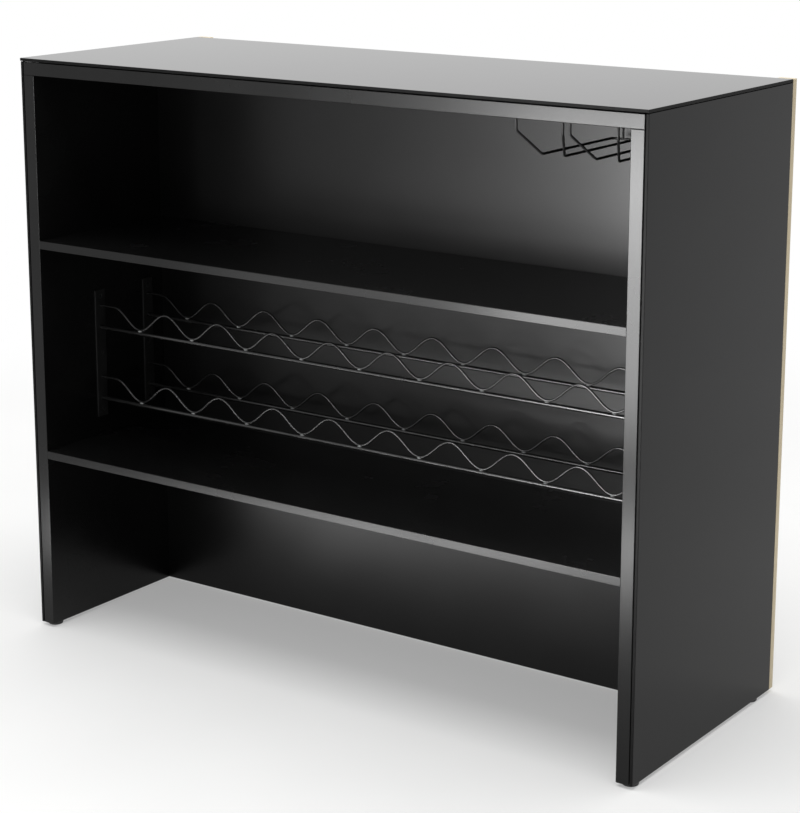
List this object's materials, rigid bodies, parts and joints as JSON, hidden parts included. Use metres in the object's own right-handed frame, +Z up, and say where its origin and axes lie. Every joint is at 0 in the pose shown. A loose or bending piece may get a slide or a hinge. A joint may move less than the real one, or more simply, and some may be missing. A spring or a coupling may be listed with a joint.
{
  "type": "bar counter",
  "caption": "Free-standing black bar counter: glass-clad top and sides, open serving side with shelves, wavy-wire bottle rack, stemware hangers and a knee recess for guests.",
  "frame": {"origin": "on the floor, at the middle of the counter's footprint", "axes": "+X to the right as seen from the open serving side, +Y towards the guests, +Z up"},
  "size_m": [1.2, 0.4716, 1.0085],
  "materials": {
    "black_board": "black satin lacquered fibreboard",
    "black_glass": "polished glass, painted black on its back",
    "bonding_tape": "black foam tape",
    "light_wood": "clear satin lacquer",
    "black_plastic": "moulded, matt",
    "black_steel": "black powder coat, satin",
    "zinc_steel": "bright zinc"
  },
  "bodies": {
    "root": {"back_panel": "black_board", "front_left_glide": "black_plastic", "front_left_upright": "black_steel", "front_left_upright_high_screw": "black_steel", "front_left_upright_low_screw": "black_steel", "front_left_upright_middle_screw": "black_steel", "front_right_glide": "black_plastic", "front_right_upright": "black_steel", "front_right_upright_high_screw": "black_steel", "front_right_upright_low_screw": "black_steel", "front_right_upright_middle_screw": "black_steel", "left_glass": "black_glass", "left_glass_tape": "bonding_tape", "left_hanger": "black_steel", "left_hanger_front_screw": "black_steel", "left_hanger_rear_screw": "black_steel", "left_lipping": "light_wood", "left_side_board": "black_board", "lower_front_rod": "black_steel", "lower_front_wave": "black_steel", "lower_rear_rod": "black_steel", "lower_rear_wave": "black_steel", "lower_shelf": "black_board", "lower_shelf_left_screw": "zinc_steel", "lower_shelf_right_screw": "zinc_steel", "rear_left_glide": "black_plastic", "rear_left_upright": "black_steel", "rear_left_upright_high_screw": "black_steel", "rear_left_upright_low_screw": "black_steel", "rear_left_upright_middle_screw": "black_steel", "rear_right_glide": "black_plastic", "rear_right_upright": "black_steel", "rear_right_upright_high_screw": "black_steel", "rear_right_upright_low_screw": "black_steel", "rear_right_upright_middle_screw": "black_steel", "right_glass": "black_glass", "right_glass_tape": "bonding_tape", "right_hanger": "black_steel", "right_hanger_front_screw": "black_steel", "right_hanger_rear_screw": "black_steel", "right_lipping": "light_wood", "right_side_board": "black_board", "top_board": "black_board", "top_glass": "black_glass", "top_glass_tape": "bonding_tape", "top_left_back_screw": "zinc_steel", "top_left_front_screw": "zinc_steel", "top_left_rear_screw": "zinc_steel", "top_lipping": "light_wood", "top_right_back_screw": "zinc_steel", "top_right_front_screw": "zinc_steel", "top_right_rear_screw": "zinc_steel", "upper_front_rod": "black_steel", "upper_front_wave": "black_steel", "upper_rear_rod": "black_steel", "upper_rear_wave": "black_steel", "upper_shelf": "black_board", "upper_shelf_left_screw": "zinc_steel", "upper_shelf_right_screw": "zinc_steel"}
  },
  "joints": []
}
